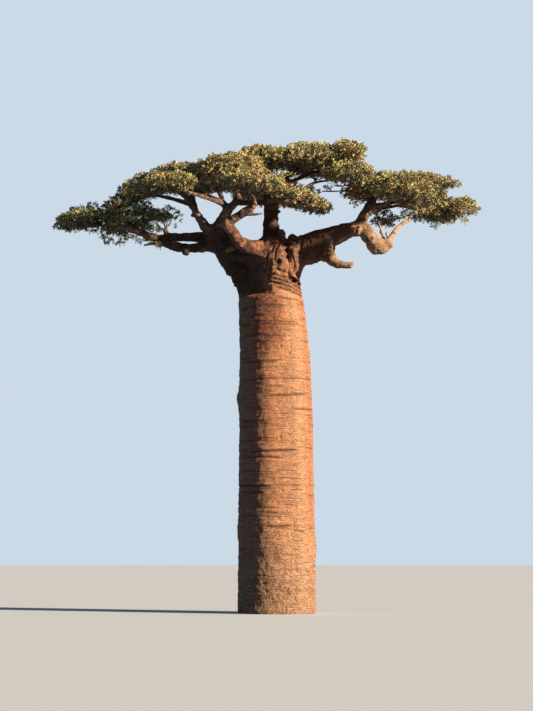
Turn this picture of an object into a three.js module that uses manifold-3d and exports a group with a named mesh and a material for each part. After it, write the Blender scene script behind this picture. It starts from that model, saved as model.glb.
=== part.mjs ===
// Baobab tree: a stout bottle-straight trunk, level boughs and flat cushions of leaves
import * as THREE from "three";
import { mergeVertices } from "three/addons/utils/BufferGeometryUtils.js";
import Module from "manifold-3d";

const wasm = await Module();
wasm.setup();

// Driving dimensions in millimetres: +X right and +Y away in the main view, +Z up from level ground
const footRadius = 1750; // trunk at the ground
const neckRadius = 1420; // trunk where the fork's head begins
const neckHeight = 14600;
const neckLean = -330; // how far the neck stands to the left of the foot
const evenTaper = 0.42; // share of the narrowing that is spread evenly, the rest coming under the neck
const headRadius = 1330; // the head that carries the boughs
const headLean = -190;
const headTop = 16950;
const wartHeight = 9650; // small knob on the trunk's left side
const wartLength = 400;
const wartReach = 170;
const cushionWaist = 0.36; // where a leaf cushion is widest, as a share of its height
const rimLobes = [[3, 0.07], [5, 0.06]]; // lobes round a cushion's rim: how many, and how deep
const hummock = 0.07; // unevenness of its crest
const joinGap = 0.4; // clear space left where two pieces meet

const trunkSides = 24;
const trunkRings = 17;
const thickLimb = 250; // a limb of a larger radius has thickSides facets round it, the others thinSides
const thickSides = 8;
const thinSides = 6;
const limbStep = 1000; // length of limb covered by one ring of facets
const leafSides = 13;
const leafRings = 7;

const barkLook = { color: 0x9c6a4c, roughness: 0.85, metalness: 0 };
const leafLook = { color: 0x5d6428, roughness: 0.7, metalness: 0 };

// Each limb follows a smooth curve through its stations, each a place and a radius there
const limbs = {
  bough_left_base: [[-900, 0, 15250, 980], [-1780, 50, 16120, 860], [-2700, 100, 17000, 550]],
  bough_left_up: [
    [-2850, -200, 17050, 360],
    [-3350, -550, 17610, 235],
    [-3600, -800, 18000, 180],
    [-4120, -1250, 18750, 150],
  ],
  bough_left_mid: [
    [-2800, -300, 17050, 380],
    [-2570, -700, 17650, 280],
    [-2260, -1100, 18080, 220],
    [-1700, -1650, 18550, 170],
  ],
  bough_left_side: [
    [-2290, -1000, 18040, 170],
    [-2420, -1300, 18420, 150],
    [-3800, -1900, 18900, 110],
  ],
  bough_left_front: [
    [-2450, -1300, 18430, 140],
    [-3200, -2200, 18530, 110],
    [-4000, -3100, 18600, 80],
  ],
  bough_left_arm_upper: [
    [-2600, 300, 17050, 340],
    [-3710, 150, 17120, 225],
    [-4990, -50, 17080, 210],
  ],
  bough_left_arm_lower: [
    [-2500, 0, 16800, 350],
    [-3750, -250, 16550, 235],
    [-4500, -300, 16570, 235],
    [-5110, -350, 16800, 220],
  ],
  bough_left_arm_end: [[-4930, -200, 16960, 270], [-5580, -120, 17040, 200], [-6900, 0, 17530, 130]],
  bough_front_left: [
    [-340, -750, 16450, 410],
    [-1080, -1600, 16370, 345],
    [-1650, -2300, 16490, 300],
    [-2220, -3050, 17160, 200],
  ],
  bough_front_rise: [
    [-2230, -3050, 17200, 210],
    [-1550, -3400, 17570, 195],
    [-1000, -3700, 17870, 155],
  ],
  bough_front_cross: [
    [-1780, -1650, 18440, 160],
    [-1300, -2400, 18230, 130],
    [340, -3700, 18100, 90],
  ],
  bough_upright: [
    [-280, 0, 16700, 540],
    [-250, 50, 17700, 365],
    [-190, 350, 18750, 330],
    [420, 700, 20100, 200],
  ],
  bough_upright_left: [[-150, 450, 19000, 190], [-600, 550, 19600, 150], [-800, 600, 20200, 110]],
  bough_upright_right: [[330, 700, 19650, 140], [1500, 1000, 20230, 100], [2500, 1100, 20500, 80]],
  bough_right_arm: [
    [500, 0, 16250, 720],
    [1890, -450, 16660, 700],
    [2720, -880, 17160, 355],
    [3590, -1250, 17280, 330],
  ],
  bough_right_up: [[3610, -1250, 17200, 270], [3890, -1080, 17850, 220], [4470, -620, 18920, 150]],
  bough_right_out: [[4200, -830, 18370, 150], [4920, -390, 18540, 115], [5800, 0, 18850, 90]],
  bough_right_upper: [[4920, -340, 18560, 100], [5590, 530, 18940, 90], [6350, 1050, 19600, 70]],
  bough_right_left: [[4360, -740, 18620, 100], [3980, -830, 18850, 80], [3650, -1100, 19100, 60]],
  bough_right_front: [[4260, -840, 18450, 130], [4780, -1460, 18320, 100], [5150, -2500, 18450, 80]],
  bough_right_down: [[3840, -1210, 17640, 200], [4050, -1400, 17040, 360], [4540, -1550, 16350, 335]],
  bough_right_elbow: [
    [4410, -1550, 16390, 320],
    [4800, -1620, 16400, 305],
    [5070, -1650, 16540, 215],
  ],
  bough_right_tip: [[5000, -1640, 16640, 130], [5690, -1150, 17530, 90], [7250, -400, 18340, 60]],
  bough_right_tuft: [[4850, -1450, 16640, 80], [4690, -1000, 17330, 55], [4660, 600, 18050, 45]],
  stub_right_root: [[2220, -350, 16750, 270], [2380, -860, 16180, 250], [2480, -1340, 15840, 235]],
  stub_right_tip: [[2420, -1340, 15900, 235], [2760, -1550, 15580, 205], [3320, -1720, 15510, 145]],
  bough_back_stem: [[-250, 700, 16450, 400], [-300, 2200, 17800, 300], [-450, 4100, 20200, 190]],
  bough_back_left: [
    [-2100, 400, 16500, 380],
    [-3250, 1300, 17720, 220],
    [-3800, 2200, 18680, 160],
    [-4100, 3400, 19950, 130],
  ],
  bough_back_left_out: [
    [-3900, 2550, 19050, 130],
    [-4900, 2750, 19400, 110],
    [-6100, 2700, 19650, 90],
  ],
  bough_back_right: [[400, 700, 16400, 380], [3450, 1750, 17620, 250], [4850, 3700, 19850, 150]],
  bough_back_right_out: [[4200, 2650, 18700, 130], [5000, 3100, 19000, 100], [6000, 3500, 19250, 80]],
  bough_inner_left: [[-2250, -700, 17900, 170], [-2450, 100, 18700, 130], [-2700, 900, 19500, 100]],
  bough_inner_right: [[-380, 3050, 18850, 170], [700, 3450, 19650, 130], [1700, 3700, 20300, 100]],
};

// Each leaf cushion: its middle, half width and half depth, the heights of its underside and crest,
// and how far its right end stands above its left
const cushions = {
  leaves_left_tip: { at: [-8950, 0], half: [1330, 1450], low: 17360, high: 18480, rise: 450 },
  leaves_left_mid: { at: [-6950, 350], half: [1300, 2050], low: 17100, high: 19150, rise: 150 },
  leaves_left_in: { at: [-5400, -500], half: [560, 950], low: 17600, high: 18420, rise: 150 },
  leaves_up_left_far: { at: [-6430, 2900], half: [1200, 1550], low: 19250, high: 20430, rise: 500 },
  leaves_up_left: { at: [-4850, -1300], half: [1800, 1650], low: 18940, high: 20200, rise: 700 },
  leaves_front_left: { at: [-4900, -3900], half: [1550, 1350], low: 18280, high: 19270, rise: 420 },
  leaves_centre_left: { at: [-2150, -2250], half: [1800, 1750], low: 18750, high: 20560, rise: 250 },
  leaves_shelf_left: { at: [-1250, -4650], half: [1550, 1450], low: 18230, high: 19300, rise: -100 },
  leaves_shelf_right: { at: [900, -2500], half: [1450, 1500], low: 17830, high: 18920, rise: -880 },
  leaves_top_left: { at: [-600, 600], half: [1650, 2300], low: 20000, high: 21450, rise: 250 },
  leaves_top_mid: { at: [1500, 400], half: [1600, 2250], low: 20050, high: 21620, rise: 150 },
  leaves_top_right: { at: [3100, 300], half: [1120, 1950], low: 20480, high: 21600, rise: -50 },
  leaves_right_mid: { at: [3300, -2400], half: [1220, 1600], low: 18960, high: 20150, rise: -150 },
  leaves_right_inner: { at: [4800, -800], half: [1180, 1550], low: 18880, high: 19950, rise: -50 },
  leaves_right_upper: { at: [6750, 1700], half: [1820, 1500], low: 19680, high: 20480, rise: -380 },
  leaves_right_lower: { at: [6250, -950], half: [1450, 1650], low: 18350, high: 19550, rise: -150 },
  leaves_right_tip: { at: [7850, -300], half: [1450, 1700], low: 17720, high: 18880, rise: 220 },
  leaves_front_right: { at: [5500, -3400], half: [1500, 1250], low: 18050, high: 19350, rise: -150 },
  leaves_tuft: { at: [5000, 1000], half: [680, 620], low: 17660, high: 18560, rise: 0 },
  leaves_back_left: { at: [-3850, 4450], half: [2200, 2000], low: 19950, high: 20880, rise: 200 },
  leaves_back_mid: { at: [-450, 4950], half: [1900, 1850], low: 19350, high: 20900, rise: 50 },
  leaves_back_right: { at: [4650, 4500], half: [1650, 1800], low: 19600, high: 20500, rise: -50 },
  leaves_back_right_far: { at: [7000, 3950], half: [1300, 1450], low: 18950, high: 19950, rise: -200 },
  leaves_inner_left: { at: [-3050, 1500], half: [1400, 1400], low: 19350, high: 20700, rise: 150 },
  leaves_inner_right: { at: [2300, 3750], half: [1500, 1500], low: 20620, high: 21350, rise: -100 },
};

const between = (a, b, t) => a + (b - a) * t;

// Trunk: how wide it is and where its middle lies at one height
function trunkRadius(z) {
  if (z <= neckHeight) {
    const s = z / neckHeight;
    return between(footRadius, neckRadius, evenTaper * s + (1 - evenTaper) * s ** 6);
  }
  const t = (z - neckHeight) / (headTop - neckHeight);
  return between(neckRadius, headRadius, Math.min(1, 3 * t)) * Math.sqrt(1 - t ** 5);
}

function trunkMiddle(z) {
  if (z <= neckHeight) {
    const s = z / neckHeight;
    return neckLean * (0.25 * s ** 2 + 0.75 * s ** 8);
  }
  return between(neckLean, headLean, Math.min(1, (2 * (z - neckHeight)) / (headTop - neckHeight)));
}

function trunkShape(grow) {
  const profile = [new THREE.Vector2(0, 0)];
  for (let i = 0; i < trunkRings; i += 1) {
    const z = headTop * (1 - (1 - i / trunkRings) ** 1.35);
    profile.push(new THREE.Vector2(trunkRadius(z) + grow, z));
  }
  profile.push(new THREE.Vector2(0, headTop + grow));
  const shape = new THREE.LatheGeometry(profile, trunkSides).rotateX(Math.PI / 2);
  moveVertices(shape, (p) => {
    const wart = Math.exp(-(((p.z - wartHeight) / wartLength) ** 2)) * Math.max(0, -p.x / footRadius) ** 8;
    return p.set(p.x + trunkMiddle(p.z) - wart * wartReach, p.y, p.z);
  });
  return shape;
}

// Limb: a cylinder bent along its curve, its radius passing smoothly from station to station
function limbShape(stations, grow) {
  const curve = new THREE.CatmullRomCurve3(stations.map(([x, y, z]) => new THREE.Vector3(x, y, z)));
  const radii = stations.map((station) => station[3]);
  const rings = Math.max(3, Math.round(curve.getLength() / limbStep));
  const frames = curve.computeFrenetFrames(rings, false);
  const sides = Math.max(...radii) > thickLimb ? thickSides : thinSides;
  const shape = new THREE.CylinderGeometry(1, 1, 1, sides, rings).rotateX(Math.PI / 2);
  moveVertices(shape, (p) => {
    const ring = Math.round((p.z + 0.5) * rings);
    const at = curve.getPoint(ring / rings);
    const along = (ring / rings) * (radii.length - 1);
    const k = Math.min(radii.length - 2, Math.floor(along));
    const radius = between(radii[k], radii[k + 1], along - k) + grow;
    const reach = ring === 0 ? -grow : ring === rings ? grow : 0;
    return at
      .addScaledVector(frames.normals[ring], p.x * radius)
      .addScaledVector(frames.binormals[ring], p.y * radius)
      .addScaledVector(frames.tangents[ring], reach);
  });
  return shape;
}

// Cushion of leaves: flat below, domed above, with a lobed rim and a hummocky crest
function cushionShape({ at, half, low, high, rise }, seed, grow) {
  const waist = between(low, high, cushionWaist);
  const shape = new THREE.SphereGeometry(1, leafSides, leafRings).rotateX(Math.PI / 2);
  moveVertices(shape, (p) => {
    const turn = Math.atan2(p.y, p.x);
    const lobed = (sum, [lobes, depth], k) => sum + depth * Math.sin(lobes * turn + (k + 1) * seed);
    const rim = rimLobes.reduce(lobed, 1);
    const uneven = 1 + hummock * Math.sin(3.1 * p.x + seed) * Math.sin(3.7 * p.y + 1.7 * seed);
    const up = p.z > 0 ? p.z ** 0.85 * uneven : -((-p.z) ** 0.6); // domed above, flatter below
    const height = p.z > 0 ? high - waist : waist - low;
    return new THREE.Vector3(
      at[0] + p.x * rim * (half[0] + grow),
      at[1] + p.y * rim * (half[1] + grow),
      waist + up * (height + grow) + (rise / 2) * p.x,
    );
  });
  return shape;
}

function moveVertices(shape, place) {
  const points = shape.getAttribute("position");
  const p = new THREE.Vector3();
  for (let i = 0; i < points.count; i += 1) {
    const moved = place(p.fromBufferAttribute(points, i));
    points.setXYZ(i, moved.x, moved.y, moved.z);
  }
}

// Closed mesh to solid, with shared vertices merged and faces pointing out
function solidOf(shape) {
  shape.deleteAttribute("normal");
  shape.deleteAttribute("uv");
  const merged = mergeVertices(shape, 0.01);
  const corners = Uint32Array.from(merged.index.array);
  const faces = [];
  for (let i = 0; i < corners.length; i += 3) {
    const [a, b, c] = corners.subarray(i, i + 3);
    if (a !== b && b !== c && c !== a) faces.push(a, b, c);
  }
  const make = (triVerts) => {
    const vertProperties = merged.getAttribute("position").array;
    return new wasm.Manifold(new wasm.Mesh({ numProp: 3, vertProperties, triVerts }));
  };
  const solid = make(new Uint32Array(faces));
  return solid.volume() > 0 ? solid : make(new Uint32Array(faces).reverse());
}

// What is left of a piece after the others take their place, without the scraps beyond them
function cutBy(solid, others) {
  const rest = others.reduce((left, other) => left.subtract(other), solid);
  return rest.decompose().sort((a, b) => b.volume() - a.volume())[0];
}

function meshOf(name, solid, look) {
  const { numProp, vertProperties, triVerts } = solid.getMesh();
  const shape = new THREE.BufferGeometry();
  shape.setAttribute("position", new THREE.BufferAttribute(vertProperties, numProp));
  shape.setIndex(new THREE.BufferAttribute(triVerts, 1));
  shape.computeVertexNormals();
  const mesh = new THREE.Mesh(shape, new THREE.MeshStandardMaterial(look));
  mesh.name = name;
  return mesh;
}

const tree = new THREE.Group();
const taken = []; // what later pieces are cut by: each placed piece, a gap larger all round

function place(name, build, look) {
  tree.add(meshOf(name, cutBy(solidOf(build(0)), taken), look));
  taken.push(solidOf(build(joinGap)));
}

place("trunk", trunkShape, barkLook);
Object.entries(cushions).forEach(([name, sizes], seed) => {
  place(name, (grow) => cushionShape(sizes, seed, grow), leafLook);
});
Object.entries(limbs).forEach(([name, stations]) => {
  place(name, (grow) => limbShape(stations, grow), barkLook);
});

export default tree;
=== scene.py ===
import math
import bpy
import numpy as np
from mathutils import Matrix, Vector, noise
from mathutils.bvhtree import BVHTree


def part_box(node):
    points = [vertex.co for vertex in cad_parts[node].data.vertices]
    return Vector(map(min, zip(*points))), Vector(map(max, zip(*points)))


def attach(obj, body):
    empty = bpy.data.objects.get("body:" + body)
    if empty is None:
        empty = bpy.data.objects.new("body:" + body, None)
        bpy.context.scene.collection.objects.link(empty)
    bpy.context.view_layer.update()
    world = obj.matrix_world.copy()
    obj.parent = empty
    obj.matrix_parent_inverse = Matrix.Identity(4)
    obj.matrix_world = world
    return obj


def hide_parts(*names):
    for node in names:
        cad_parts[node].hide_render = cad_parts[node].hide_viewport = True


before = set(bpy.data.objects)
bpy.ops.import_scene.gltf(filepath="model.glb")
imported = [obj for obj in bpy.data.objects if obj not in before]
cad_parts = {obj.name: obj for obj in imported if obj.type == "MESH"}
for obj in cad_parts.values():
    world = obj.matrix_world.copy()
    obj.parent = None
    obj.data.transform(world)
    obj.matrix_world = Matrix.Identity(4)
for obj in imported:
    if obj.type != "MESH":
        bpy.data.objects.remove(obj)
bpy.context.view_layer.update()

# Baobab tree in metres: +X right and +Y away in the main view, +Z up from level ground; angles in degrees


def selectOnly(*pieces):
    # select these pieces alone, the first of them active
    bpy.ops.object.select_all(action="DESELECT")
    for piece in pieces:
        piece.select_set(True)
    if pieces:
        bpy.context.view_layer.objects.active = pieces[0]


def modifier(piece, kind, **settings):
    # add a modifier with its settings and apply it
    added = piece.modifiers.new(kind.title(), kind)
    for setting, value in settings.items():
        setattr(added, setting, value)
    selectOnly(piece)
    bpy.ops.object.modifier_apply(modifier=added.name)


def smoothStep(start, full, value):
    # 0 up to the start and 1 from the full place on; the start may be the larger one
    t = np.clip((value - start) / (full - start), 0, 1)
    return t * t * (3 - 2 * t)


def noiseAt(points, scale, shift=0.0):
    # smooth noise from -1 to 1; scale is one number, or one for each axis
    moved = points * scale + shift
    return np.array([noise.noise(Vector(p)) for p in moved])


def curveThrough(stations, step):
    # rings of x, y, z and radius, about step apart, on a smooth curve through the stations
    knots = [np.array(station, float) for station in stations]
    knots = [2 * knots[0] - knots[1], *knots, 2 * knots[-1] - knots[-2]]
    rings = []
    for a, b, c, d in zip(knots, knots[1:], knots[2:], knots[3:]):
        count = max(2, round(np.linalg.norm((c - b)[:3]) / step))
        for t in np.arange(count) / count:
            bend = (2 * a - 5 * b + 4 * c - d) * t**2 + (3 * b - a - 3 * c + d) * t**3
            rings.append(b + 0.5 * ((c - a) * t + bend))
    rings.append(knots[-2])
    return np.array(rings)


# Trunk: radii and lean at its foot, at its neck and on the head that the boughs leave
trunk = {
    "footRadius": 1.75, "neckRadius": 1.42, "headRadius": 1.33,
    "neckHeight": 14.6, "headTop": 16.95, "neckLean": -0.33, "headLean": -0.19,
    "evenTaper": 0.42,  # share of the narrowing that is spread evenly, the rest coming under the neck
    "sides": 64, "ringStep": 0.35,
    "below": 0.4,  # the shape starts this far under the ground and is cut flat there
    "split": 13.9,  # height where the trunk's piece meets the fork's
}

# Limbs: each a smooth curve through its stations of x, y, z and radius
limbs = {
    "bough_left_base": [(-0.90, 0, 15.25, 0.98), (-1.78, 0.05, 16.12, 0.86), (-2.70, 0.10, 17.00, 0.55)],
    "bough_left_up": [
        (-2.85, -0.20, 17.05, 0.36), (-3.35, -0.55, 17.61, 0.235),
        (-3.60, -0.80, 18.00, 0.18), (-4.12, -1.25, 18.75, 0.15),
    ],
    "bough_left_mid": [
        (-2.80, -0.30, 17.05, 0.38), (-2.57, -0.70, 17.65, 0.28),
        (-2.26, -1.10, 18.08, 0.22), (-1.70, -1.65, 18.55, 0.17),
    ],
    "bough_left_side": [
        (-2.29, -1.00, 18.04, 0.17), (-2.42, -1.30, 18.42, 0.15), (-3.80, -1.90, 18.90, 0.11),
    ],
    "bough_left_front": [
        (-2.45, -1.30, 18.43, 0.14), (-3.20, -2.20, 18.53, 0.11), (-4.00, -3.10, 18.60, 0.08),
    ],
    "bough_left_arm_upper": [
        (-2.60, 0.30, 17.05, 0.34), (-3.71, 0.15, 17.12, 0.225), (-4.99, -0.05, 17.08, 0.21),
    ],
    "bough_left_arm_lower": [
        (-2.50, 0, 16.80, 0.35), (-3.75, -0.25, 16.55, 0.235),
        (-4.50, -0.30, 16.57, 0.235), (-5.11, -0.35, 16.80, 0.22),
    ],
    "bough_left_arm_end": [
        (-4.93, -0.20, 16.96, 0.27), (-5.58, -0.12, 17.04, 0.20), (-6.90, 0, 17.53, 0.13),
    ],
    "bough_front_left": [
        (-0.34, -0.75, 16.45, 0.41), (-1.08, -1.60, 16.37, 0.345),
        (-1.65, -2.30, 16.49, 0.30), (-2.22, -3.05, 17.16, 0.20),
    ],
    "bough_front_rise": [
        (-2.23, -3.05, 17.20, 0.21), (-1.55, -3.40, 17.57, 0.195), (-1.00, -3.70, 17.87, 0.155),
    ],
    "bough_front_cross": [
        (-1.78, -1.65, 18.44, 0.16), (-1.30, -2.40, 18.23, 0.13), (0.34, -3.70, 18.10, 0.09),
    ],
    "bough_upright": [
        (-0.28, 0, 16.70, 0.54), (-0.25, 0.05, 17.70, 0.365),
        (-0.19, 0.35, 18.75, 0.33), (0.42, 0.70, 20.10, 0.20),
    ],
    "bough_upright_left": [
        (-0.15, 0.45, 19.00, 0.19), (-0.60, 0.55, 19.60, 0.15), (-0.80, 0.60, 20.20, 0.11),
    ],
    "bough_upright_right": [
        (0.33, 0.70, 19.65, 0.14), (1.50, 1.00, 20.23, 0.10), (2.50, 1.10, 20.50, 0.08),
    ],
    "bough_right_arm": [
        (0.50, 0, 16.25, 0.72), (1.89, -0.45, 16.66, 0.70),
        (2.72, -0.88, 17.16, 0.355), (3.59, -1.25, 17.28, 0.33),
    ],
    "bough_right_up": [(3.61, -1.25, 17.20, 0.27), (3.89, -1.08, 17.85, 0.22), (4.47, -0.62, 18.92, 0.15)],
    "bough_right_out": [(4.20, -0.83, 18.37, 0.15), (4.92, -0.39, 18.54, 0.115), (5.80, 0, 18.85, 0.09)],
    "bough_right_upper": [(4.92, -0.34, 18.56, 0.10), (5.59, 0.53, 18.94, 0.09), (6.35, 1.05, 19.60, 0.07)],
    "bough_right_left": [
        (4.36, -0.74, 18.62, 0.10), (3.98, -0.83, 18.85, 0.08), (3.65, -1.10, 19.10, 0.06),
    ],
    "bough_right_front": [
        (4.26, -0.84, 18.45, 0.13), (4.78, -1.46, 18.32, 0.10), (5.15, -2.50, 18.45, 0.08),
    ],
    "bough_right_down": [
        (3.84, -1.21, 17.64, 0.20), (4.05, -1.40, 17.04, 0.36), (4.54, -1.55, 16.35, 0.335),
    ],
    "bough_right_elbow": [
        (4.41, -1.55, 16.39, 0.32), (4.80, -1.62, 16.40, 0.305), (5.07, -1.65, 16.54, 0.215),
    ],
    "bough_right_tip": [(5.00, -1.64, 16.64, 0.13), (5.69, -1.15, 17.53, 0.09), (7.25, -0.40, 18.34, 0.06)],
    "bough_right_tuft": [
        (4.85, -1.45, 16.64, 0.08), (4.69, -1.00, 17.33, 0.055), (4.66, 0.60, 18.05, 0.045),
    ],
    "stub_right_root": [
        (2.22, -0.35, 16.75, 0.27), (2.38, -0.86, 16.18, 0.25), (2.48, -1.34, 15.84, 0.235),
    ],
    "stub_right_tip": [
        (2.42, -1.34, 15.90, 0.235), (2.76, -1.55, 15.58, 0.205), (3.32, -1.72, 15.51, 0.145),
    ],
    "bough_back_stem": [(-0.25, 0.70, 16.45, 0.40), (-0.30, 2.20, 17.80, 0.30), (-0.45, 4.10, 20.20, 0.19)],
    "bough_back_left": [
        (-2.10, 0.40, 16.50, 0.38), (-3.25, 1.30, 17.72, 0.22),
        (-3.80, 2.20, 18.68, 0.16), (-4.10, 3.40, 19.95, 0.13),
    ],
    "bough_back_left_out": [
        (-3.90, 2.55, 19.05, 0.13), (-4.90, 2.75, 19.40, 0.11), (-6.10, 2.70, 19.65, 0.09),
    ],
    "bough_back_right": [(0.40, 0.70, 16.40, 0.38), (3.45, 1.75, 17.62, 0.25), (4.85, 3.70, 19.85, 0.15)],
    "bough_back_right_out": [
        (4.20, 2.65, 18.70, 0.13), (5.00, 3.10, 19.00, 0.10), (6.00, 3.50, 19.25, 0.08),
    ],
    "bough_inner_left": [
        (-2.25, -0.70, 17.90, 0.17), (-2.45, 0.10, 18.70, 0.13), (-2.70, 0.90, 19.50, 0.10),
    ],
    "bough_inner_right": [(-0.38, 3.05, 18.85, 0.17), (0.70, 3.45, 19.65, 0.13), (1.70, 3.70, 20.30, 0.10)],
}

# Folds of bark that stand proud of the head and boughs, and short dead prongs, modelled as short limbs
folds = {
    "fold_right": [
        (0.69, -0.68, 16.86, 0.23), (0.74, -0.98, 16.36, 0.24),
        (0.80, -1.01, 15.85, 0.23), (0.82, -0.88, 15.40, 0.21),
    ],
    "fold_middle": [
        (0.16, -0.82, 16.70, 0.24), (0.12, -1.16, 16.25, 0.27),
        (0.20, -1.20, 15.70, 0.24), (0.30, -1.00, 15.20, 0.18),
    ],
    "fold_front": [
        (-0.20, -0.80, 16.60, 0.28), (-0.16, -1.12, 16.15, 0.27),
        (-0.10, -1.16, 15.65, 0.23), (-0.06, -1.02, 15.20, 0.20),
    ],
    "fold_behind": [(0.10, 0.80, 16.60, 0.30), (0.45, 1.05, 15.95, 0.28), (0.40, 1.15, 15.20, 0.20)],
    "fold_back_left": [(-1.10, 0.70, 16.20, 0.32), (-1.15, 0.95, 15.50, 0.28), (-1.00, 1.05, 14.90, 0.20)],
    "prong_front": [(-1.45, -3.42, 17.55, 0.10), (-0.95, -3.60, 17.49, 0.065), (-0.66, -3.70, 17.53, 0.05)],
    "prong_left_arm": [
        (-5.02, -0.25, 17.15, 0.10), (-5.04, -0.30, 17.42, 0.075), (-5.02, -0.32, 17.60, 0.065),
    ],
    "prong_under_arm": [
        (-5.00, -0.35, 16.79, 0.13), (-5.50, -0.45, 16.76, 0.085), (-6.05, -0.58, 16.62, 0.06),
    ],
    "prong_stub": [(3.17, -1.68, 15.59, 0.09), (3.31, -1.72, 15.62, 0.06), (3.45, -1.74, 15.64, 0.05)],
}

# Knobs: places and radii of the larger swellings
knobs = [
    (0.19, -0.10, 17.28, 0.20), (0.68, -1.00, 15.36, 0.20), (1.40, -0.20, 16.00, 0.21),
    (1.77, -0.35, 16.00, 0.19), (2.24, -0.95, 16.05, 0.30), (-4.15, -0.38, 16.35, 0.22),
    (-3.82, -0.78, 17.97, 0.13), (3.49, -1.35, 17.22, 0.32), (3.41, -1.53, 17.30, 0.19),
    (3.74, -1.40, 17.14, 0.27), (5.01, -1.67, 16.53, 0.19), (-1.70, -3.30, 17.62, 0.11),
    (-2.42, 0.00, 16.06, 0.30), (-2.10, 0.00, 15.50, 0.29), (-1.82, 0.00, 15.06, 0.28),
    (-1.47, 0.00, 14.60, 0.24), (0.10, 0.10, 18.29, 0.12), (-3.20, -0.45, 17.42, 0.24),
    (4.74, -1.11, 17.13, 0.11), (-2.22, -3.02, 17.22, 0.22), (0.76, -0.40, 16.96, 0.24),
    (0.84, -0.40, 14.98, 0.24),
]

# How the wood is modelled and melted into one skin
wood = {
    "voxel": 0.045, "smoothing": 4, "limbStep": 0.32, "limbSides": 20,
    "endReach": 0.6, "endRadius": 0.55,  # a limb's rounded end, as shares of its last radius
    "knobSquash": 0.85,  # a knob's height, as a share of its width
}


def trunkRadius(z):
    # the trunk's radius at each height
    s = np.clip(z / trunk["neckHeight"], -0.1, 1)
    even = trunk["evenTaper"]
    narrowing = (trunk["neckRadius"] - trunk["footRadius"]) * (even * s + (1 - even) * s**6)
    below = trunk["footRadius"] + narrowing
    t = np.clip((z - trunk["neckHeight"]) / (trunk["headTop"] - trunk["neckHeight"]), 0, 1)
    head = trunk["neckRadius"] + (trunk["headRadius"] - trunk["neckRadius"]) * np.minimum(1, 3 * t)
    return np.where(z <= trunk["neckHeight"], below, head * np.sqrt(1 - t**5))


def trunkMiddle(z):
    # how far to the right the trunk's middle lies at each height
    s = np.clip(z / trunk["neckHeight"], 0, 1)
    below = trunk["neckLean"] * (0.25 * s**2 + 0.75 * s**8)
    t = np.clip(2 * (z - trunk["neckHeight"]) / (trunk["headTop"] - trunk["neckHeight"]), 0, 1)
    above = trunk["neckLean"] + (trunk["headLean"] - trunk["neckLean"]) * t
    return np.where(z <= trunk["neckHeight"], below, above)


def modelLimb(name, rings, sides):
    # a disc extruded from ring to ring, each turned to face along the limb
    places = [Vector(ring[:3]) for ring in rings]
    radii = [float(ring[3]) for ring in rings]
    heads = [(b - a).normalized() for a, b in zip([places[0], *places[:-1]], [*places[1:], places[-1]])]
    places.append(places[-1] + heads[-1] * radii[-1] * wood["endReach"])
    radii.append(radii[-1] * wood["endRadius"])
    heads.append(heads[-1])
    selectOnly()
    bpy.ops.mesh.primitive_circle_add(
        vertices=sides, radius=radii[0], fill_type="NGON", location=places[0],
        rotation=heads[0].to_track_quat("Z", "Y").to_euler(),
    )
    piece = bpy.context.object
    piece.name = name
    bpy.ops.object.transform_apply(location=True, rotation=True, scale=True)
    bpy.ops.object.mode_set(mode="EDIT")
    for i in range(1, len(places)):
        bpy.ops.mesh.extrude_region_move(TRANSFORM_OT_translate={"value": places[i] - places[i - 1]})
        turn = heads[i - 1].rotation_difference(heads[i]).to_euler("XYZ")
        for axis, angle in zip("XYZ", turn):
            bpy.ops.transform.rotate(
                value=-angle, orient_axis=axis, orient_type="GLOBAL", center_override=places[i]
            )
        scale = radii[i] / radii[i - 1]
        bpy.ops.transform.resize(value=(scale, scale, scale), center_override=places[i])
    bpy.ops.mesh.select_all(action="SELECT")
    bpy.ops.mesh.normals_make_consistent(inside=False)
    bpy.ops.object.mode_set(mode="OBJECT")
    return piece


def trunkRings():
    heights = np.arange(-trunk["below"], trunk["headTop"], trunk["ringStep"])
    return [(trunkMiddle(z), 0, z, trunkRadius(z)) for z in heights]


def modelWood():
    # trunk, limbs, folds and knobs, melted into one closed skin
    parts = [modelLimb("wood", trunkRings(), trunk["sides"])]
    for name, stations in {**limbs, **folds}.items():
        parts.append(modelLimb(name + "_form", curveThrough(stations, wood["limbStep"]), wood["limbSides"]))
    for x, y, z, radius in knobs:
        selectOnly()
        bpy.ops.mesh.primitive_ico_sphere_add(subdivisions=3, radius=radius, location=(x, y, z))
        bpy.ops.transform.resize(value=(1, 1, wood["knobSquash"]))
        parts.append(bpy.context.object)
    selectOnly(*parts)
    bpy.ops.object.join()
    piece = bpy.context.object
    modifier(piece, "REMESH", mode="VOXEL", voxel_size=wood["voxel"])
    modifier(piece, "SMOOTH", factor=0.5, iterations=wood["smoothing"])
    print("wood:", len(piece.data.polygons), "faces")
    return piece


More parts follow.
